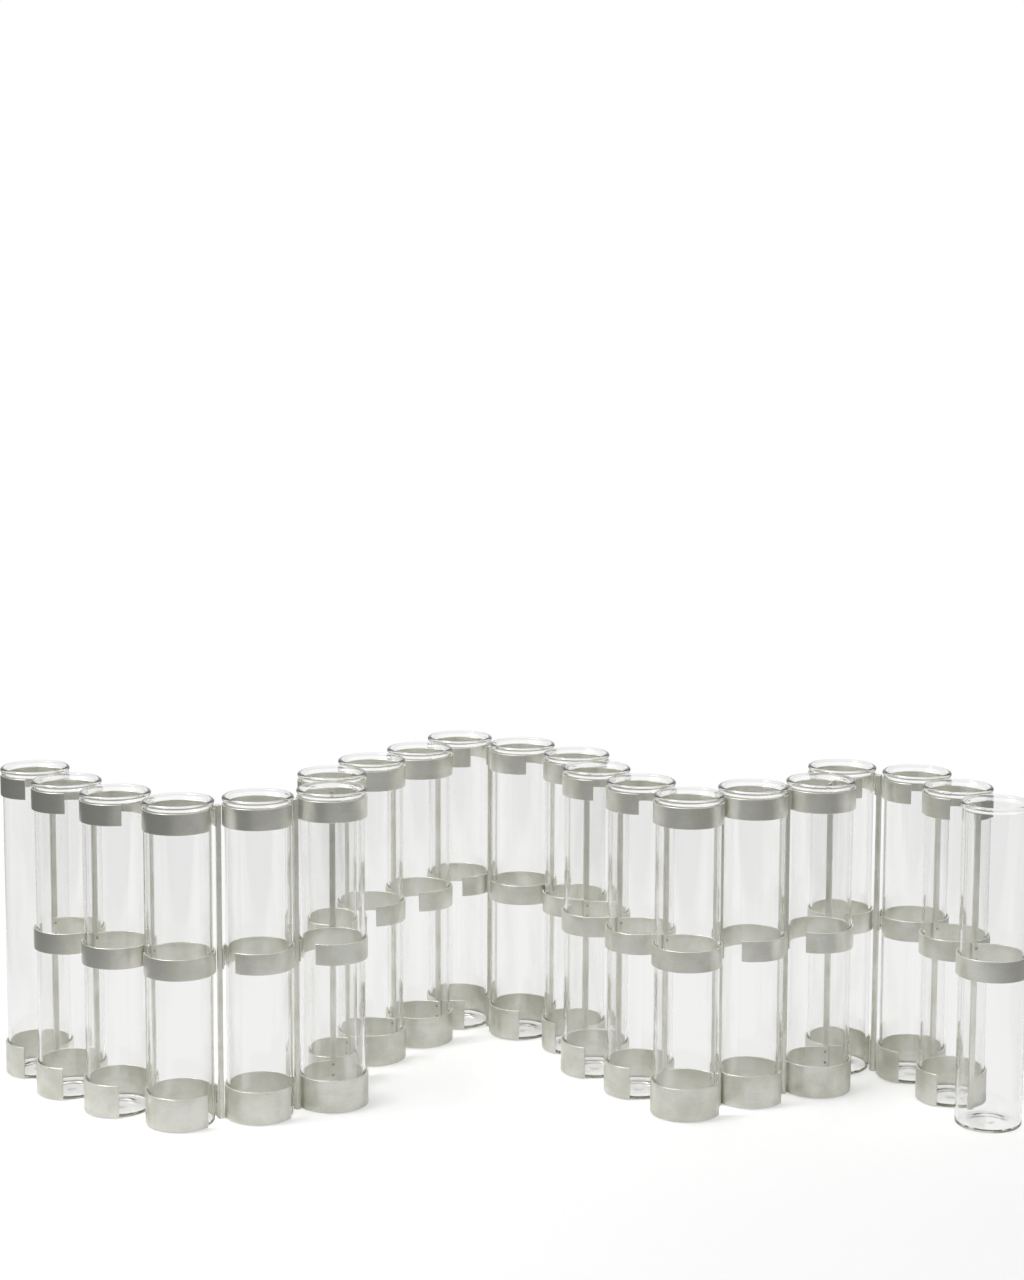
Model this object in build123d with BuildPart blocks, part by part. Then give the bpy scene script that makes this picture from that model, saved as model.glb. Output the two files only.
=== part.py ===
"""A row of glass flower tubes, hinged on one another by sheet-metal brackets.

Each bracket is an upright bar with three C-shaped bands: a top and a bottom band round the tube on its left, and a
middle band round the tube on its right. Every inner tube stands in the bands of two brackets and is their hinge pin.
Millimetres, +Z up, origin on the table under the middle of the row.
"""

import os
from math import acos, atan2, degrees, hypot

from build123d import *

# Glass tube
tube_diameter = 40.0
glass_wall = 1.6
tube_height = 197.5
base_thickness = 2.0
heel_bevel = 1.5
lip_height = 4.0
lip_overhang = 1.0

# Bracket: sheet bands on an upright bar
sheet = 1.0
band_clearance = 0.6
swing_clearance = 0.9
bar_thickness = 3.0
bar_width = 4.0
bar_edge_radius = 0.5
band_height = 13.0
bottom_band_height = 20.0
middle_band_level = 98.9
lip_clearance = 0.4
table_clearance = 0.5
top_band_gap = 40.0
middle_band_gap = 38.0
bottom_band_gap = 51.0

# How the row stands: the compass heading of each bracket from its left tube, in degrees anticlockwise from +X
headings = (-56, -43, -31, 16, 27, 94, 62, 52, 58, -29, -43, -76, -57, -56, 31, 24, 67, -21, -68, -72)

# Worked out from the sizes above
tube_radius = tube_diameter / 2
band_radius = tube_radius + band_clearance
bar_face = band_radius + sheet + swing_clearance
pitch = 2 * bar_face + bar_thickness
lip_level = tube_height - lip_height
bar_height = lip_level - lip_clearance


def tube_places():
    """The tubes' places in plan: one pitch apart along the headings, centred on the origin."""
    places = [Vector(0, 0, 0)]
    for heading in headings:
        places.append(places[-1] + Vector(pitch, 0, 0).rotate(Axis.Z, heading))
    box = Wire.make_polygon([tuple(place) for place in places], close=False).bounding_box()
    return [place - box.center() for place in places]


def make_band(level, height, gap):
    """A C-shaped band round a tube at the origin, its end tab flat on a bar that stands on the +X side.

    The strip starts at the bar's front edge, leaves the bar for the tube, and goes round it to a free end.
    """
    tab_x = bar_face - sheet
    tab_y = bar_width / 2
    leave = degrees(atan2(tab_y, tab_x) + acos(band_radius / hypot(tab_x, tab_y)))
    with BuildPart() as band:
        with BuildSketch(Plane.XY.offset(level)):
            with BuildLine():
                tab = Line((tab_x, -tab_y), (tab_x, tab_y))
                wrap = CenterArc((0, 0), band_radius, leave, 360 - gap - leave)
                Line(tab @ 1, wrap @ 0)
                offset(amount=sheet, side=Side.RIGHT)
            make_face()
        extrude(amount=height)
    return band.part


# The glass: straight wall, flat bottom with a bevelled heel, and a lip that flares outwards
with BuildPart() as tube:
    with BuildSketch(Plane.XZ):
        with BuildLine():
            Polyline(
                (0, 0),
                (tube_radius - heel_bevel, 0),
                (tube_radius, heel_bevel),
                (tube_radius, lip_level),
                (tube_radius + lip_overhang, tube_height),
                (tube_radius + lip_overhang - glass_wall, tube_height),
                (tube_radius - glass_wall, lip_level),
                (tube_radius - glass_wall, base_thickness),
                (0, base_thickness),
                close=True,
            )
        make_face()
    revolve(axis=Axis.Z)

# The bar stands at the middle of its bracket, thin side along the row
with BuildPart() as bar:
    with BuildSketch():
        RectangleRounded(bar_thickness, bar_width, bar_edge_radius)
    extrude(amount=bar_height)

# The bands: two round the left tube, and the mirrored middle one round the right tube
to_left_tube = Location((-pitch / 2, 0, 0))
to_right_tube = Location((pitch / 2, 0, 0))
top_band = make_band(bar_height - band_height, band_height, top_band_gap).moved(to_left_tube)
bottom_band = make_band(table_clearance, bottom_band_height, bottom_band_gap).moved(to_left_tube)
middle_band = (
    make_band(middle_band_level - band_height / 2, band_height, middle_band_gap)
    .mirror(Plane.YZ)
    .moved(to_right_tube)
)

# Copies set out along the row, one file for each tube and each bracket
os.makedirs("parts", exist_ok=True)
places = tube_places()
for number, place in enumerate(places, 1):
    glass = tube.part.moved(Location(place))
    glass.label = f"tube_{number:02d}"
    export_step(glass, f"parts/{glass.label}.step")
for number, (left, right, heading) in enumerate(zip(places, places[1:], headings), 1):
    stand = Location((left + right) / 2, (0, 0, heading))
    pieces = {"bar": bar.part, "top_band": top_band, "middle_band": middle_band, "bottom_band": bottom_band}
    bracket = Compound(
        label=f"bracket_{number:02d}",
        children=[Solid(piece.solid().moved(stand).wrapped, label=name) for name, piece in pieces.items()],
    )
    export_step(bracket, f"parts/{bracket.label}.step")
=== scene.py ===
"""Dresses a row of glass vase tubes that are hinged on one another by sheet-metal brackets.

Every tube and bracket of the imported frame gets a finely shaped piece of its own, made from one pattern and set out
along the row. Lengths are metres, +Z is up, and the origin is on the table under the middle of the row.
"""

import math

import bmesh
import bpy
from bpy.props import FloatProperty, FloatVectorProperty, IntProperty, PointerProperty
from bpy.types import Operator, Panel, PropertyGroup
from mathutils import Matrix, Vector


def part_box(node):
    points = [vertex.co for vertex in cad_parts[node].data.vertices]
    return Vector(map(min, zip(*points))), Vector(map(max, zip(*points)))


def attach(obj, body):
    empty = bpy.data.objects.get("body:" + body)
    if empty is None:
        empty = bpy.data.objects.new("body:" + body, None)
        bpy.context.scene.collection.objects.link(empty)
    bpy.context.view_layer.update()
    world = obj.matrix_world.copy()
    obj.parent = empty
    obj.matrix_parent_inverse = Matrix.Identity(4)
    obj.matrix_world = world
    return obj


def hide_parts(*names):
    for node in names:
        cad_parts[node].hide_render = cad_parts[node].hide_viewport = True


bl_info = {
    "name": "Hinged tube vase",
    "version": (1, 0, 0),
    "blender": (4, 5, 0),
    "location": "View3D > Sidebar > Vase",
    "description": "Glass tubes, zinc-plated brackets and a pale studio for a row of hinged vase tubes",
    "category": "Add Mesh",
}

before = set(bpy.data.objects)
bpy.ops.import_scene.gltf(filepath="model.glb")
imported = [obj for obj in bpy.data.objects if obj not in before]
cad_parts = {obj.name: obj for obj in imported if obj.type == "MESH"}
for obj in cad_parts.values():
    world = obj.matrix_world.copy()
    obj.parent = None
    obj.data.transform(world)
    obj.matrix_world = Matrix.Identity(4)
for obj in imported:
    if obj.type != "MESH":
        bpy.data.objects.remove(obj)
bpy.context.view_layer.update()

tube_nodes = sorted(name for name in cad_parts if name.startswith("tube_"))
bracket_nodes = sorted(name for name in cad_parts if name.startswith("bracket_"))
tube_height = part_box(tube_nodes[0])[1].z
bracket_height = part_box(bracket_nodes[0])[1].z


def linear(hex_colour):
    """An sRGB hex colour such as #C9CAC4 as linear red, green, blue and alpha."""
    channels = [int(hex_colour[i:i + 2], 16) / 255 for i in (1, 3, 5)]
    return (*[c / 12.92 if c <= 0.04045 else ((c + 0.055) / 1.055) ** 2.4 for c in channels], 1.0)


def length(name, description, default):
    """A length property, shown in the user's units."""
    return FloatProperty(
        name=name, description=description, default=default, min=0.0, subtype="DISTANCE", precision=5
    )


def level(name, description, default):
    """A share or a brightness, where 1 is white."""
    return FloatProperty(name=name, description=description, default=default, min=0.0, max=1.0)


def angle(name, description, degrees):
    """An angle property with its default written in degrees."""
    return FloatProperty(name=name, description=description, default=math.radians(degrees), subtype="ANGLE")


def colour(name, description, hex_colour):
    """A colour property with its default written in sRGB hex."""
    return FloatVectorProperty(
        name=name, description=description, default=linear(hex_colour),
        size=4, min=0.0, max=1.0, subtype="COLOR",
    )


class TubeSizes(PropertyGroup):
    """Sizes of one glass tube."""

    diameter: length("Diameter", "Outside diameter of the straight wall", 0.040)
    wall: length("Wall", "Thickness of the glass wall", 0.0016)
    base: length("Base", "Thickness of the glass floor", 0.002)
    heel_radius: length("Heel radius", "Rounding between the wall and the foot", 0.0018)
    corner_radius: length("Inside corner", "Rounding between the floor and the inside wall", 0.0009)
    dimple: length("Dimple", "Depth of the seal's rings in the base, inside and underneath", 0.00035)
    lip_height: length("Lip height", "Height of the flared lip", 0.0045)
    lip_overhang: length("Lip overhang", "How far the lip stands out from the wall", 0.00155)
    lip_bead: length("Lip bead", "Radius of the melted bead along the rim", 0.0015)
    segments: IntProperty(name="Segments", description="Facets round the tube", default=96, min=12)


class BracketSizes(PropertyGroup):
    """Sizes of one bracket: three sheet bands welded to an upright bar."""

    sheet: length("Sheet", "Thickness of the band's sheet metal", 0.001)
    band_clearance: length("Band clearance", "Gap between a tube and its band", 0.0006)
    swing_clearance: length("Swing clearance", "Gap between a band and the bar of the next bracket", 0.0009)
    bar_thickness: length("Bar thickness", "The bar's size along the row", 0.003)
    bar_width: length("Bar width", "The bar's size across the row", 0.004)
    band_height: length("Band height", "Height of the top and middle bands", 0.013)
    bottom_band_height: length("Bottom band height", "Height of the bottom band", 0.020)
    middle_level: length("Middle level", "Height of the middle of the middle band", 0.0989)
    table_clearance: length("Table clearance", "Gap under the bottom band", 0.0005)
    bend_radius: length("Bend radius", "Radius of the bend where a band leaves its tab", 0.004)
    edge_radius: length("Edge radius", "Rounding of the tumbled sheet edges", 0.00038)
    bar_edge_radius: length("Bar edge radius", "Rounding of the bar's long edges", 0.0006)
    weld_diameter: length("Weld diameter", "Width of a spot weld's low button", 0.0018)
    weld_height: length("Weld height", "How far a spot weld stands out of its tab", 0.0006)
    weld_inset: length("Weld inset", "From a band's top edge down to its first weld", 0.003)
    weld_spacing: length("Weld spacing", "Between the two welds of a tab", 0.007)
    top_gap: angle("Top gap", "Opening of the top band", 40)
    middle_gap: angle("Middle gap", "Opening of the middle band", 38)
    bottom_gap: angle("Bottom gap", "Opening of the bottom band", 51)


class Finishes(PropertyGroup):
    """Colours of the glass, the metal and the floor."""

    zinc: colour("Zinc", "Matt zinc plating", "#E9E9E4")
    zinc_dull: colour("Dull zinc", "Plating where it has dulled", "#CCCBBC")
    weld: colour("Weld", "Oxide where the weld burnt the plating off", "#86827A")
    weld_bright: colour("Bright weld", "Bare steel in the middle of a weld", "#B2B0A8")
    glass: colour("Glass", "Colour of light through the glass surface", "#FFFFFF")
    glass_depth: colour("Glass depth", "Colour that a long way through the glass takes on", "#CCCDB9")
    glass_shadow: colour("Glass shadow", "Lamp light left after one surface of glass", "#F8F8F8")
    floor: colour("Floor", "Pale table under the vase", "#F4F4F4")
    # Painted shade: the table is coloured greyer in the metal's reflections than it is to the eye
    floor_shaded_in_metal: colour("Floor in metal", "The table as the metal shows it", "#DCDCDC")
    far_floor: colour("Far floor", "Dimmer floor beyond the table, as the metal shows it", "#A6A6A6")
    # Painted shade: the floor beyond the table's left is coloured dark, so that metal shows darker left sides
    left_floor_shade: colour("Left floor", "Dark floor beyond the table's left, as the metal shows it", "#6C6C6C")


class Studio(PropertyGroup):
    """The camera, the floor and the lights."""

    camera_place: FloatVectorProperty(
        name="Camera place", description="Where the camera stands", default=(0.00613, -1.56572, 0.51523),
        subtype="XYZ_LENGTH",
    )
    camera_pitch: angle("Camera pitch", "How far the camera looks down", 6.78)
    camera_roll: angle("Camera roll", "Tilt of the camera about its view", 0.2)
    focal_length: FloatProperty(
        name="Focal length", description="Lens in mm on a 36 mm long side", default=70.69,
        subtype="DISTANCE_CAMERA",
    )
    shift: FloatVectorProperty(
        name="Shift", description="Lens shift as a share of the long side", default=(0.0002, -0.0625), size=2,
    )
    floor_reach: length("Floor reach", "Half the side of the floor", 6.0)
    floor_drop: length("Floor drop", "A hair under the feet, so that glass and floor share no face", 0.0002)
    table_middle: FloatVectorProperty(
        name="Table middle", description="Middle of the pale table", default=(0.02, 0.25), size=2,
        subtype="XYZ_LENGTH",
    )
    table_width: length("Table width", "Half the pale table's width", 0.60)
    table_depth: length("Table depth", "Half the pale table's depth", 0.85)
    floor_white: level("Floor white", "Share of plain white in the floor near the vase", 0.25)
    through_white: level("White through glass", "The floor's white as glass shows it", 0.90)
    through_front: level("Front through glass", "The dim floor in front of the table as glass shows it", 0.10)
    fill: level("Fill", "Light from all round on matt surfaces", 0.55)
    room_front: level("Room in front", "Brightness that metal and glass find in front", 0.22)
    room_back: level("Room behind", "Brightness that metal and glass find behind", 1.0)
    room_ceiling: level("Ceiling", "Brightness that metal and glass find overhead", 0.75)
    key_power: FloatProperty(
        name="Key power", description="Softbox at the front left", default=20.0, unit="POWER"
    )
    top_power: FloatProperty(
        name="Top power", description="Softbox overhead", default=4.0, unit="POWER"
    )


def add_node(tree, kind, inputs=None, **settings):
    """Adds a node with its settings; an input that is given a socket is linked to it, any other is set."""
    node = tree.nodes.new(kind)
    for name, value in settings.items():
        setattr(node, name, value)
    for name, value in (inputs or {}).items():
        if isinstance(value, bpy.types.NodeSocket):
            tree.links.new(value, node.inputs[name])
        else:
            node.inputs[name].default_value = value
    return node


def new_material(name):
    """An empty node material; returns it with its node tree."""
    material = bpy.data.materials.new(name)
    material.use_nodes = True
    material.node_tree.nodes.clear()
    return material, material.node_tree


def matt_zinc_plated_steel(finishes):
    """Cold-rolled steel strip, barrel-plated with zinc: satin grey, clouded, frosted, with faint rolling lines.

    The crystals of the plating are far finer than a pixel, so the frost is drawn at 0.8 mm.
    """
    frost_size = 0.0008
    cloud_size = 0.014
    line_height, line_length = 0.0007, 0.025
    noise_low, noise_high = 0.33, 0.72  # the span of a noise that shows
    cloud_share, line_share, frost_share = 0.5, 0.12, 0.25  # how far each pattern dulls the plating
    smooth, dull = 0.34, 0.48  # roughness of bright and of dull plating
    frost_depth, frost_strength = 0.0001, 0.12
    material, tree = new_material("matt_zinc_plated_steel")
    place = add_node(tree, "ShaderNodeTexCoord").outputs["Object"]
    frost = add_node(tree, "ShaderNodeTexNoise", {"Vector": place, "Scale": 1 / frost_size, "Detail": 2.0})
    clouds = add_node(tree, "ShaderNodeTexNoise", {"Vector": place, "Scale": 1 / cloud_size, "Detail": 3.0})
    rolled = add_node(
        tree, "ShaderNodeMapping",
        {"Vector": place, "Scale": (1 / line_length, 1 / line_length, 1 / line_height)},
    )
    lines = add_node(
        tree, "ShaderNodeTexNoise", {"Vector": rolled.outputs["Vector"], "Scale": 1.0, "Detail": 2.0}
    )
    # Each pattern dulls the plating a little
    shares = [
        add_node(
            tree, "ShaderNodeMapRange",
            {
                "Value": pattern.outputs["Fac"], "From Min": noise_low, "From Max": noise_high,
                "To Min": 0.0, "To Max": most,
            },
            interpolation_type="SMOOTHSTEP",
        ).outputs["Result"]
        for pattern, most in ((clouds, cloud_share), (lines, line_share), (frost, frost_share))
    ]
    two = add_node(tree, "ShaderNodeMath", {0: shares[0], 1: shares[1]}, operation="ADD")
    dulling = add_node(tree, "ShaderNodeMath", {0: two.outputs[0], 1: shares[2]}, operation="ADD").outputs[0]
    tone = add_node(
        tree, "ShaderNodeMix", {"Factor": dulling, "A": tuple(finishes.zinc), "B": tuple(finishes.zinc_dull)},
        data_type="RGBA",
    )
    roughness = add_node(tree, "ShaderNodeMapRange", {"Value": dulling, "To Min": smooth, "To Max": dull})
    relief = add_node(
        tree, "ShaderNodeBump",
        {"Height": frost.outputs["Fac"], "Strength": frost_strength, "Distance": frost_depth},
    )
    plating = add_node(
        tree, "ShaderNodeBsdfPrincipled",
        {
            "Base Color": tone.outputs["Result"], "Metallic": 1.0, "Roughness": roughness.outputs["Result"],
            "Normal": relief.outputs["Normal"],
        },
    )
    add_node(tree, "ShaderNodeOutputMaterial", {"Surface": plating.outputs["BSDF"]})
    return material


def heat_tinted_steel(finishes):
    """Mild steel, spot-welded: the plating is burnt off, which leaves a dark spot, mottled with bare metal."""
    mottle_size = 0.0006
    material, tree = new_material("heat_tinted_steel")
    place = add_node(tree, "ShaderNodeTexCoord").outputs["Object"]
    mottle = add_node(tree, "ShaderNodeTexNoise", {"Vector": place, "Scale": 1 / mottle_size, "Detail": 2.0})
    tone = add_node(
        tree, "ShaderNodeMix",
        {"Factor": mottle.outputs["Fac"], "A": tuple(finishes.weld), "B": tuple(finishes.weld_bright)},
        data_type="RGBA",
    )
    spot = add_node(
        tree, "ShaderNodeBsdfPrincipled",
        {"Base Color": tone.outputs["Result"], "Metallic": 1.0, "Roughness": 0.4},
    )
    add_node(tree, "ShaderNodeOutputMaterial", {"Surface": spot.outputs["BSDF"]})
    return material


def drawn_borosilicate_glass(finishes):
    """Borosilicate tubing, drawn and fire-polished: clear, with faint lines along the draw and a grey-green depth.

    Real draw lines are a hair wide, too fine to show, so they are drawn 5 mm wide and hardly deep.
    """
    line_width, line_length = 0.005, 1.0
    line_depth, line_strength = 0.0002, 0.02
    density = 15.0  # how fast the depth's colour builds up, per metre
    material, tree = new_material("drawn_borosilicate_glass")
    place = add_node(tree, "ShaderNodeTexCoord").outputs["Object"]
    piece = add_node(tree, "ShaderNodeObjectInfo").outputs["Random"]
    drawn = add_node(
        tree, "ShaderNodeMapping",
        {"Vector": place, "Scale": (1 / line_width, 1 / line_width, 1 / line_length)},
    )
    lines = add_node(
        tree, "ShaderNodeTexNoise",
        {"Vector": drawn.outputs["Vector"], "W": piece, "Scale": 1.0, "Detail": 1.0},
        noise_dimensions="4D",
    )
    relief = add_node(
        tree, "ShaderNodeBump",
        {"Height": lines.outputs["Fac"], "Strength": line_strength, "Distance": line_depth},
    )
    clear = add_node(
        tree, "ShaderNodeBsdfPrincipled",
        {
            "Base Color": tuple(finishes.glass), "Roughness": 0.0, "IOR": 1.473, "Transmission Weight": 1.0,
            "Normal": relief.outputs["Normal"],
        },
    )
    # Lamps shine through, as they do through a thin clear wall
    lamps_through = add_node(tree, "ShaderNodeBsdfTransparent", {"Color": tuple(finishes.glass_shadow)})
    shadow_ray = add_node(tree, "ShaderNodeLightPath").outputs["Is Shadow Ray"]
    surface = add_node(
        tree, "ShaderNodeMixShader",
        {0: shadow_ray, 1: clear.outputs["BSDF"], 2: lamps_through.outputs["BSDF"]},
    )
    depth = add_node(
        tree, "ShaderNodeVolumeAbsorption", {"Color": tuple(finishes.glass_depth), "Density": density}
    )
    add_node(
        tree, "ShaderNodeOutputMaterial",
        {"Surface": surface.outputs["Shader"], "Volume": depth.outputs["Volume"]},
    )
    return material


def pale_matt_card(studio, finishes):
    """White card, matt: white with soft shadows to the eye.

    Through glass it is plain white, but dim in front. Metal finds a pale table, painted greyer than the card, and a
    dimmer floor beyond it, with painted shade that is darkest on the left.
    """
    table_edge, floor_start = 0.8, 1.0  # the table's soft edge, as shares of its half size
    dark_end, bright_start = -0.42, -0.12  # where the painted shade on the left side turns into the dim floor, along X
    front_dim, front_white = -0.56, -0.42  # where the floor in front turns dim, along Y
    shaded_end, white_start = 0.32, 0.85  # where the shading fades into white, from the middle of the row
    material, tree = new_material("pale_matt_card")
    path = add_node(tree, "ShaderNodeLightPath").outputs
    place = add_node(tree, "ShaderNodeTexCoord").outputs["Object"]
    on_table = add_node(
        tree, "ShaderNodeMapping",
        {
            "Vector": place, "Location": (*studio.table_middle, 0),
            "Scale": (studio.table_width, studio.table_depth, 1),
        },
        vector_type="TEXTURE",
    )
    distance = add_node(tree, "ShaderNodeVectorMath", {0: on_table.outputs["Vector"]}, operation="LENGTH")
    far = add_node(
        tree, "ShaderNodeMapRange",
        {"Value": distance.outputs["Value"], "From Min": table_edge, "From Max": floor_start},
        interpolation_type="SMOOTHSTEP",
    ).outputs["Result"]
    along = add_node(tree, "ShaderNodeSeparateXYZ", {"Vector": place}).outputs
    right = add_node(
        tree, "ShaderNodeMapRange", {"Value": along["X"], "From Min": dark_end, "From Max": bright_start},
        interpolation_type="SMOOTHSTEP",
    )
    # Painted shade for metal: the floor beyond the table is coloured dimmer, and darkest on the left
    beyond = add_node(
        tree, "ShaderNodeMix",
        {"Factor": right.outputs["Result"], "A": tuple(finishes.left_floor_shade), "B": tuple(finishes.far_floor)},
        data_type="RGBA",
    )
    # Painted shade for metal: the table itself is coloured greyer than the card the eye sees
    in_metal = add_node(
        tree, "ShaderNodeMix",
        {"Factor": far, "A": tuple(finishes.floor_shaded_in_metal), "B": beyond.outputs["Result"]},
        data_type="RGBA",
    )
    tone = add_node(
        tree, "ShaderNodeMix",
        {"Factor": path["Is Glossy Ray"], "A": tuple(finishes.floor), "B": in_metal.outputs["Result"]},
        data_type="RGBA",
    )
    card = add_node(tree, "ShaderNodeBsdfDiffuse", {"Color": tone.outputs["Result"]})
    # Metal behind glass finds the same dim floor in front as bare metal does
    through = add_node(
        tree, "ShaderNodeMapRange",
        {
            "Value": along["Y"], "From Min": front_dim, "From Max": front_white,
            "To Min": studio.through_front, "To Max": studio.through_white,
        },
        interpolation_type="SMOOTHSTEP",
    )
    strength = add_node(
        tree, "ShaderNodeMix",
        {"Factor": path["Is Transmission Ray"], "A": 1.0, "B": through.outputs["Result"]},
    )
    white = add_node(
        tree, "ShaderNodeEmission", {"Color": (1, 1, 1, 1), "Strength": strength.outputs["Result"]}
    )
    # How much of the plain white each kind of ray finds
    away = add_node(tree, "ShaderNodeVectorMath", {0: place}, operation="LENGTH")
    to_eye = add_node(
        tree, "ShaderNodeMapRange",
        {
            "Value": away.outputs["Value"], "From Min": shaded_end, "From Max": white_start,
            "To Min": studio.floor_white, "To Max": 1.0,
        },
        interpolation_type="SMOOTHSTEP",
    )
    by_eye = add_node(
        tree, "ShaderNodeMix", {"Factor": path["Is Camera Ray"], "A": 0.0, "B": to_eye.outputs["Result"]}
    )
    share = add_node(
        tree, "ShaderNodeMix",
        {"Factor": path["Is Transmission Ray"], "A": by_eye.outputs["Result"], "B": 1.0},
    )
    surface = add_node(
        tree, "ShaderNodeMixShader",
        {0: share.outputs["Result"], 1: card.outputs["BSDF"], 2: white.outputs["Emission"]},
    )
    add_node(tree, "ShaderNodeOutputMaterial", {"Surface": surface.outputs["Shader"]})
    return material


def pale_room(studio):
    """White to the eye; metal and glass find it bright behind, dim in front and paler overhead."""
    front_end, back_start = 0.4, 1.0  # where the dim front turns into the bright back, as directions along Y
    wall_top, ceiling_start = 0.25, 0.7  # where the walls turn into the ceiling, as directions along Z
    world = bpy.data.worlds.new("pale_room")
    world.use_nodes = True
    tree = world.node_tree
    tree.nodes.clear()
    path = add_node(tree, "ShaderNodeLightPath").outputs
    direction = add_node(tree, "ShaderNodeTexCoord").outputs["Generated"]
    towards = add_node(tree, "ShaderNodeSeparateXYZ", {"Vector": direction}).outputs
    walls = add_node(
        tree, "ShaderNodeMapRange",
        {
            "Value": towards["Y"], "From Min": front_end, "From Max": back_start,
            "To Min": studio.room_front, "To Max": studio.room_back,
        },
        interpolation_type="SMOOTHSTEP",
    )
    overhead = add_node(
        tree, "ShaderNodeMapRange",
        {"Value": towards["Z"], "From Min": wall_top, "From Max": ceiling_start},
        interpolation_type="SMOOTHSTEP",
    )
    room = add_node(
        tree, "ShaderNodeMix",
        {"Factor": overhead.outputs["Result"], "A": walls.outputs["Result"], "B": studio.room_ceiling},
    )
    shiny = add_node(
        tree, "ShaderNodeMath", {0: path["Is Glossy Ray"], 1: path["Is Transmission Ray"]}, operation="MAXIMUM"
    )
    lit = add_node(
        tree, "ShaderNodeMix", {"Factor": shiny.outputs[0], "A": studio.fill, "B": room.outputs["Result"]}
    )
    strength = add_node(
        tree, "ShaderNodeMix", {"Factor": path["Is Camera Ray"], "A": lit.outputs["Result"], "B": 1.0}
    )
    light = add_node(
        tree, "ShaderNodeBackground", {"Color": (1, 1, 1, 1), "Strength": strength.outputs["Result"]}
    )
    add_node(tree, "ShaderNodeOutputWorld", {"Surface": light.outputs["Background"]})
    return world


def arc(centre, radius, start, end, steps):
    """Points of a circular arc from start to end, in radians, ends included."""
    turns = [start + (end - start) * k / steps for k in range(steps + 1)]
    return [Vector((centre[0] + radius * math.cos(t), centre[1] + radius * math.sin(t))) for t in turns]


def ease(start, end, steps):
    """Points from start to end that leave and arrive upright, as softened glass bends."""
    points = []
    for k in range(steps + 1):
        share = k / steps
        eased = (1 - math.cos(math.pi * share)) / 2
        points.append(Vector((start[0] + (end[0] - start[0]) * eased, start[1] + (end[1] - start[1]) * share)))
    return points


def tube_outline(sizes):
    """The glass section: from the middle of the foot up the outside, over the lip and down the inside."""
    outer = sizes.diameter / 2
    inner = outer - sizes.wall
    heel, corner, bead = sizes.heel_radius, sizes.corner_radius, sizes.lip_bead
    neck = tube_height - sizes.lip_height
    rim_level = tube_height - bead
    rim_middle = outer + sizes.lip_overhang - bead
    quarter = math.pi / 2
    bend_steps, rim_steps = 6, 8
    margin = 0.001  # keeps the bends' shading off the straight wall
    # Rings that the seal leaves in the base: shares of the radius and of their depth
    seal = [
        (0, 0.5), (0.1, 0.55), (0.2, 0.8), (0.27, 1), (0.45, 0.95),
        (0.53, 0.6), (0.62, 0.35), (0.75, 0.1), (0.85, 0),
    ]
    foot = [Vector((outer * r, sizes.dimple * d)) for r, d in seal]
    heel_arc = arc((outer - heel, heel), heel, -quarter, 0, bend_steps)
    straight = [Vector((outer, heel + margin)), Vector((outer, neck - margin))]
    flare = ease((outer, neck), (rim_middle + bead, rim_level), bend_steps)
    rim = arc((rim_middle, rim_level), bead, 0, math.pi, rim_steps)[1:-1]
    inside_flare = ease((inner, neck), (rim_middle - bead, rim_level), bend_steps)[::-1]
    inside = [Vector((inner, neck - margin)), Vector((inner, sizes.base + corner + margin))]
    corner_arc = arc((inner - corner, sizes.base + corner), corner, 0, -quarter, bend_steps)
    floor = [Vector((inner * r, sizes.base - sizes.dimple * d)) for r, d in seal[::-1]]
    return foot + heel_arc + straight + flare + rim + inside_flare + inside + corner_arc + floor


def lathe(name, outline, segments):
    """A mesh of revolution about Z, from an outline of radius and height that starts and ends on the axis."""
    weld_distance = 1e-6
    bm = bmesh.new()
    points = [bm.verts.new((p[0], 0, p[1])) for p in outline]
    edges = [bm.edges.new(pair) for pair in zip(points, points[1:])]
    bmesh.ops.spin(
        bm, geom=points + edges, cent=(0, 0, 0), axis=(0, 0, 1),
        angle=math.tau, steps=segments, use_merge=True,
    )
    bmesh.ops.remove_doubles(bm, verts=bm.verts, dist=weld_distance)
    bmesh.ops.recalc_face_normals(bm, faces=bm.faces)
    mesh = bpy.data.meshes.new(name)
    bm.to_mesh(mesh)
    bm.free()
    mesh.shade_smooth()
    return mesh


def tube_centre(node):
    """Where a tube stands on the table."""
    low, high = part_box(node)
    return Vector(((low.x + high.x) / 2, (low.y + high.y) / 2, 0))


def band_plan(sizes, tube_radius, gap):
    """Plan of a band's inner face: along the tab, off the bar in an easy bend, round the tube to the free end."""
    bend_steps, wrap_steps = 5, 84
    margin = 0.0004  # keeps the bend's shading off the flat tab
    radius = tube_radius + sizes.band_clearance
    tab_x = radius + sizes.swing_clearance
    tab_y = sizes.bar_width / 2
    leave = math.atan2(tab_y, tab_x) + math.acos(radius / math.hypot(tab_x, tab_y))
    reach = sizes.bend_radius * math.tan(leave / 2)
    bend_centre = (tab_x - sizes.bend_radius, tab_y - reach)
    start = [Vector((tab_x, -tab_y)), Vector((tab_x, tab_y - reach - margin))]
    bend = arc(bend_centre, sizes.bend_radius, 0, leave, bend_steps)
    wrap = arc((0, 0), radius, leave, math.tau - gap, wrap_steps)
    return start + bend + wrap


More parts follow.
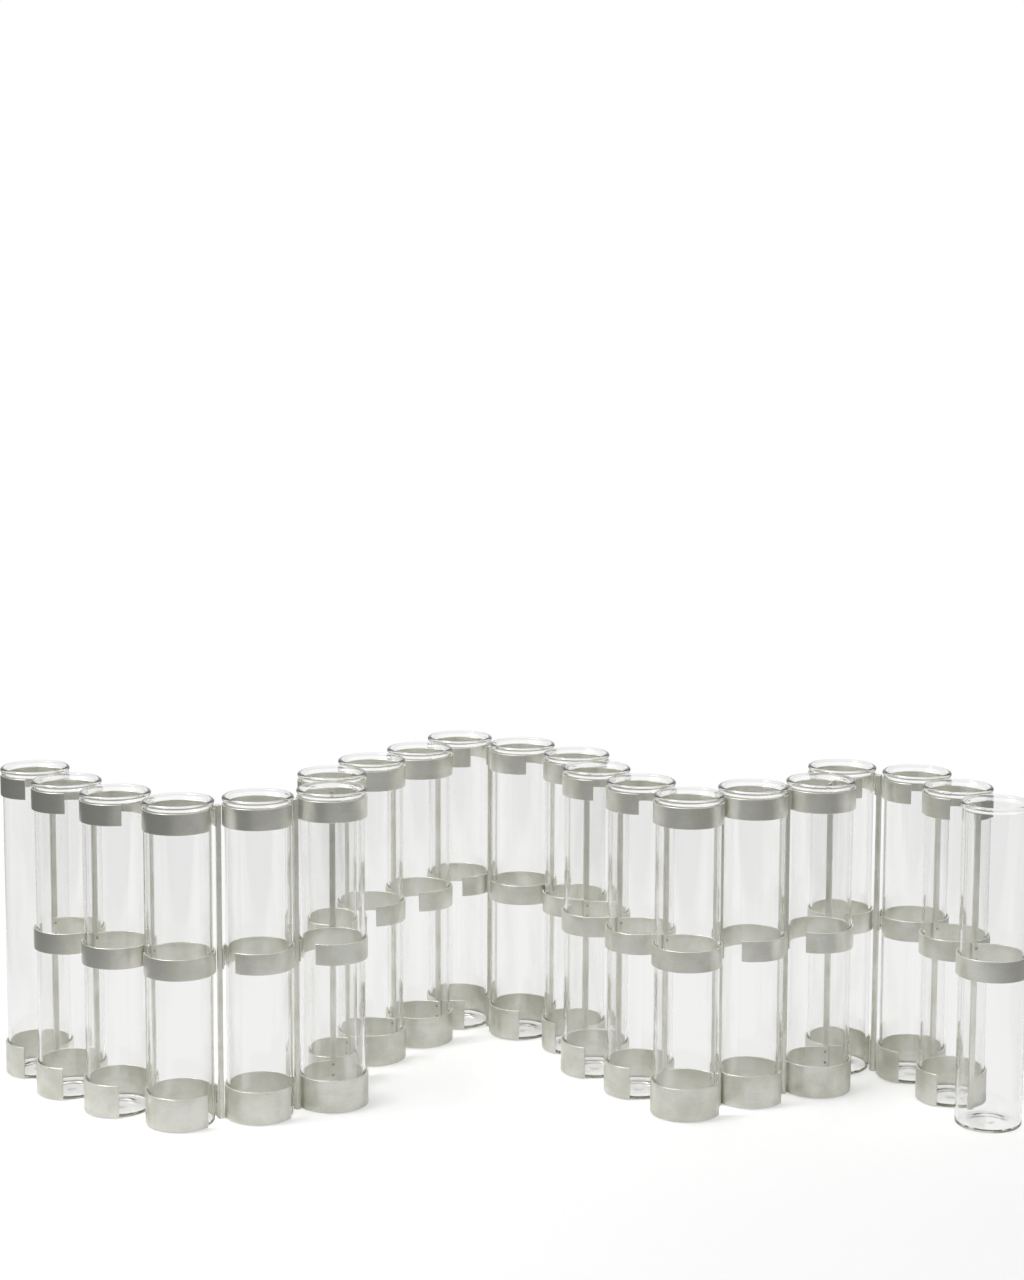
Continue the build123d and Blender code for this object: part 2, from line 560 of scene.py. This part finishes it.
def extrude_strip(bm, plan, thickness, low, high):
    """Adds a strip that stands on its edge along a plan line, thickened to the line's right."""
    rings = []
    for k, point in enumerate(plan):
        before, after = plan[max(k - 1, 0)], plan[min(k + 1, len(plan) - 1)]
        along = (after - before).normalized()
        outward = Vector((along.y, -along.x)) * thickness
        section = [(point, low), (point + outward, low), (point + outward, high), (point, high)]
        rings.append([bm.verts.new((*p, z)) for p, z in section])
    for one, two in zip(rings, rings[1:]):
        for k in range(4):
            bm.faces.new((one[k], two[k], two[(k + 1) % 4], one[(k + 1) % 4]))
    bm.faces.new(rings[0])
    bm.faces.new(rings[-1][::-1])


def upright_bar(bm, thickness, width, edge_radius, height):
    """Adds a bar with rounded long edges, standing on the table at the origin."""
    x, y = thickness / 2 - edge_radius, width / 2 - edge_radius
    quarter = math.pi / 2
    corner_steps = 4
    outline = []
    for k, corner in enumerate([(x, y), (-x, y), (-x, -y), (x, -y)]):
        outline += arc(corner, edge_radius, k * quarter, (k + 1) * quarter, corner_steps)
    low = [bm.verts.new((*p, 0)) for p in outline]
    high = [bm.verts.new((*p, height)) for p in outline]
    for k in range(len(outline)):
        after = (k + 1) % len(outline)
        bm.faces.new((low[k], low[after], high[after], high[k]))
    bm.faces.new(low[::-1])
    bm.faces.new(high)


def spot_welds(bm, sizes, x, band_top):
    """Adds the two low buttons that the welding tips leave on the face of a tab."""
    for drop in (sizes.weld_inset, sizes.weld_inset + sizes.weld_spacing):
        place = Matrix.Translation((x, 0, band_top - drop))
        button = Matrix.Diagonal((sizes.weld_height, sizes.weld_diameter / 2, sizes.weld_diameter / 2, 1))
        made = bmesh.ops.create_uvsphere(bm, u_segments=16, v_segments=8, radius=1, matrix=place @ button)
        for face in {face for vert in made["verts"] for face in vert.link_faces}:
            face.material_index = 1  # heat-tinted steel, the bracket's second material


class VASE_OT_tubes(Operator):
    """Turn the glass tubes and stand one in every place of the row"""

    bl_idname = "vase.tubes"
    bl_label = "Glass tubes"

    def execute(self, context):
        sizes = context.scene.vase_tube
        mesh = lathe("glass_tube", tube_outline(sizes), sizes.segments)
        mesh.materials.append(drawn_borosilicate_glass(context.scene.vase_finishes))
        for node in tube_nodes:
            piece = bpy.data.objects.new(f"glass_{node}", mesh)
            piece.location = tube_centre(node)
            context.scene.collection.objects.link(piece)
            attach(piece, node)
            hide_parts(node)
        return {"FINISHED"}


class VASE_OT_brackets(Operator):
    """Bend the bands, weld them to their bars and hang one bracket between each pair of tubes"""

    bl_idname = "vase.brackets"
    bl_label = "Zinc brackets"

    def execute(self, context):
        sizes = context.scene.vase_bracket
        tube_radius = context.scene.vase_tube.diameter / 2
        pitch = (tube_centre(tube_nodes[1]) - tube_centre(tube_nodes[0])).length
        bm = bmesh.new()
        # Each band's side of the bar, -1 for the left tube and 1 for the right, its gap, foot and height
        bands = (
            (-1, sizes.top_gap, bracket_height - sizes.band_height, sizes.band_height),
            (1, sizes.middle_gap, sizes.middle_level - sizes.band_height / 2, sizes.band_height),
            (-1, sizes.bottom_gap, sizes.table_clearance, sizes.bottom_band_height),
        )
        for side, gap, low, height in bands:
            plan = [Vector((side * (pitch / 2 - p.x), p.y)) for p in band_plan(sizes, tube_radius, gap)]
            extrude_strip(bm, plan, -side * sizes.sheet, low, low + height)
            spot_welds(bm, sizes, plan[0].x, low + height)
        upright_bar(bm, sizes.bar_thickness, sizes.bar_width, sizes.bar_edge_radius, bracket_height)
        bmesh.ops.recalc_face_normals(bm, faces=bm.faces)
        pattern = bpy.data.meshes.new("zinc_bracket")
        bm.to_mesh(pattern)
        bm.free()
        pattern.shade_smooth()
        pattern.materials.append(matt_zinc_plated_steel(context.scene.vase_finishes))
        pattern.materials.append(heat_tinted_steel(context.scene.vase_finishes))
        for node, left_tube, right_tube in zip(bracket_nodes, tube_nodes, tube_nodes[1:]):
            one, two = tube_centre(left_tube), tube_centre(right_tube)
            row = two - one
            turn = Matrix.Rotation(math.atan2(row.y, row.x), 4, "Z")
            mesh = pattern.copy()
            mesh.transform(Matrix.Translation((one + two) / 2) @ turn)
            piece = bpy.data.objects.new(f"zinc_{node}", mesh)
            context.scene.collection.objects.link(piece)
            edges = piece.modifiers.new("tumbled_edges", "BEVEL")
            edges.width = sizes.edge_radius
            edges.segments = 2
            edges.limit_method = "ANGLE"
            edges.angle_limit = math.radians(40)
            edges.harden_normals = True
            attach(piece, node)
            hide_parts(node)
        return {"FINISHED"}


class VASE_OT_stage(Operator):
    """Set up the pale floor, the soft lights and the camera"""

    bl_idname = "vase.stage"
    bl_label = "Studio"

    def execute(self, context):
        scene = context.scene
        studio = scene.vase_studio
        reach = studio.floor_reach
        mesh = bpy.data.meshes.new("floor")
        corners = [(-reach, -reach, 0), (reach, -reach, 0), (reach, reach, 0), (-reach, reach, 0)]
        mesh.from_pydata(corners, [], [range(4)])
        floor = bpy.data.objects.new("floor", mesh)
        floor.location.z = -studio.floor_drop
        scene.collection.objects.link(floor)
        mesh.materials.append(pale_matt_card(studio, scene.vase_finishes))

        scene.world = pale_room(studio)
        middle = Vector((0, 0, tube_height / 2))
        # Each lamp's name, place, width, height and power
        lamps = (
            ("key_softbox", (-1.1, -0.5, 1.5), 0.9, 0.9, studio.key_power),
            ("top_softbox", (0.0, 0.2, 1.6), 1.2, 0.8, studio.top_power),
        )
        for name, place, width, height, power in lamps:
            lamp = bpy.data.lights.new(name, "AREA")
            lamp.shape = "RECTANGLE"
            lamp.size, lamp.size_y = width, height
            lamp.energy = power
            holder = bpy.data.objects.new(name, lamp)
            holder.location = place
            holder.rotation_euler = (middle - Vector(place)).to_track_quat("-Z", "Y").to_euler()
            scene.collection.objects.link(holder)

        lens = bpy.data.cameras.new("camera")
        lens.lens = studio.focal_length
        lens.shift_x, lens.shift_y = studio.shift
        camera = bpy.data.objects.new("camera", lens)
        camera.location = studio.camera_place
        tilt = Matrix.Rotation(math.pi / 2 - studio.camera_pitch, 4, "X")
        camera.rotation_euler = (tilt @ Matrix.Rotation(studio.camera_roll, 4, "Z")).to_euler()
        scene.collection.objects.link(camera)
        scene.camera = camera

        scene.view_settings.view_transform = "Standard"
        # Light meets many glass walls on its way along the row
        bounces = 32
        scene.cycles.blur_glossy = 0.0
        scene.cycles.max_bounces = bounces
        scene.cycles.glossy_bounces = bounces
        scene.cycles.transmission_bounces = bounces
        scene.cycles.transparent_max_bounces = bounces
        return {"FINISHED"}


class VASE_PT_panel(Panel):
    """Lists the vase's pieces in the sidebar."""

    bl_label = "Hinged tube vase"
    bl_idname = "VASE_PT_panel"
    bl_space_type = "VIEW_3D"
    bl_region_type = "UI"
    bl_category = "Vase"

    def draw(self, context):
        for operator in (VASE_OT_tubes, VASE_OT_brackets, VASE_OT_stage):
            self.layout.operator(operator.bl_idname)


classes = (
    TubeSizes, BracketSizes, Finishes, Studio,
    VASE_OT_tubes, VASE_OT_brackets, VASE_OT_stage, VASE_PT_panel,
)


def register():
    for cls in classes:
        bpy.utils.register_class(cls)
    bpy.types.Scene.vase_tube = PointerProperty(type=TubeSizes)
    bpy.types.Scene.vase_bracket = PointerProperty(type=BracketSizes)
    bpy.types.Scene.vase_finishes = PointerProperty(type=Finishes)
    bpy.types.Scene.vase_studio = PointerProperty(type=Studio)


def unregister():
    for name in ("vase_tube", "vase_bracket", "vase_finishes", "vase_studio"):
        delattr(bpy.types.Scene, name)
    for cls in reversed(classes):
        bpy.utils.unregister_class(cls)


def main():
    register()
    bpy.ops.vase.tubes()
    bpy.ops.vase.brackets()
    bpy.ops.vase.stage()


if __name__ == "__main__":
    main()
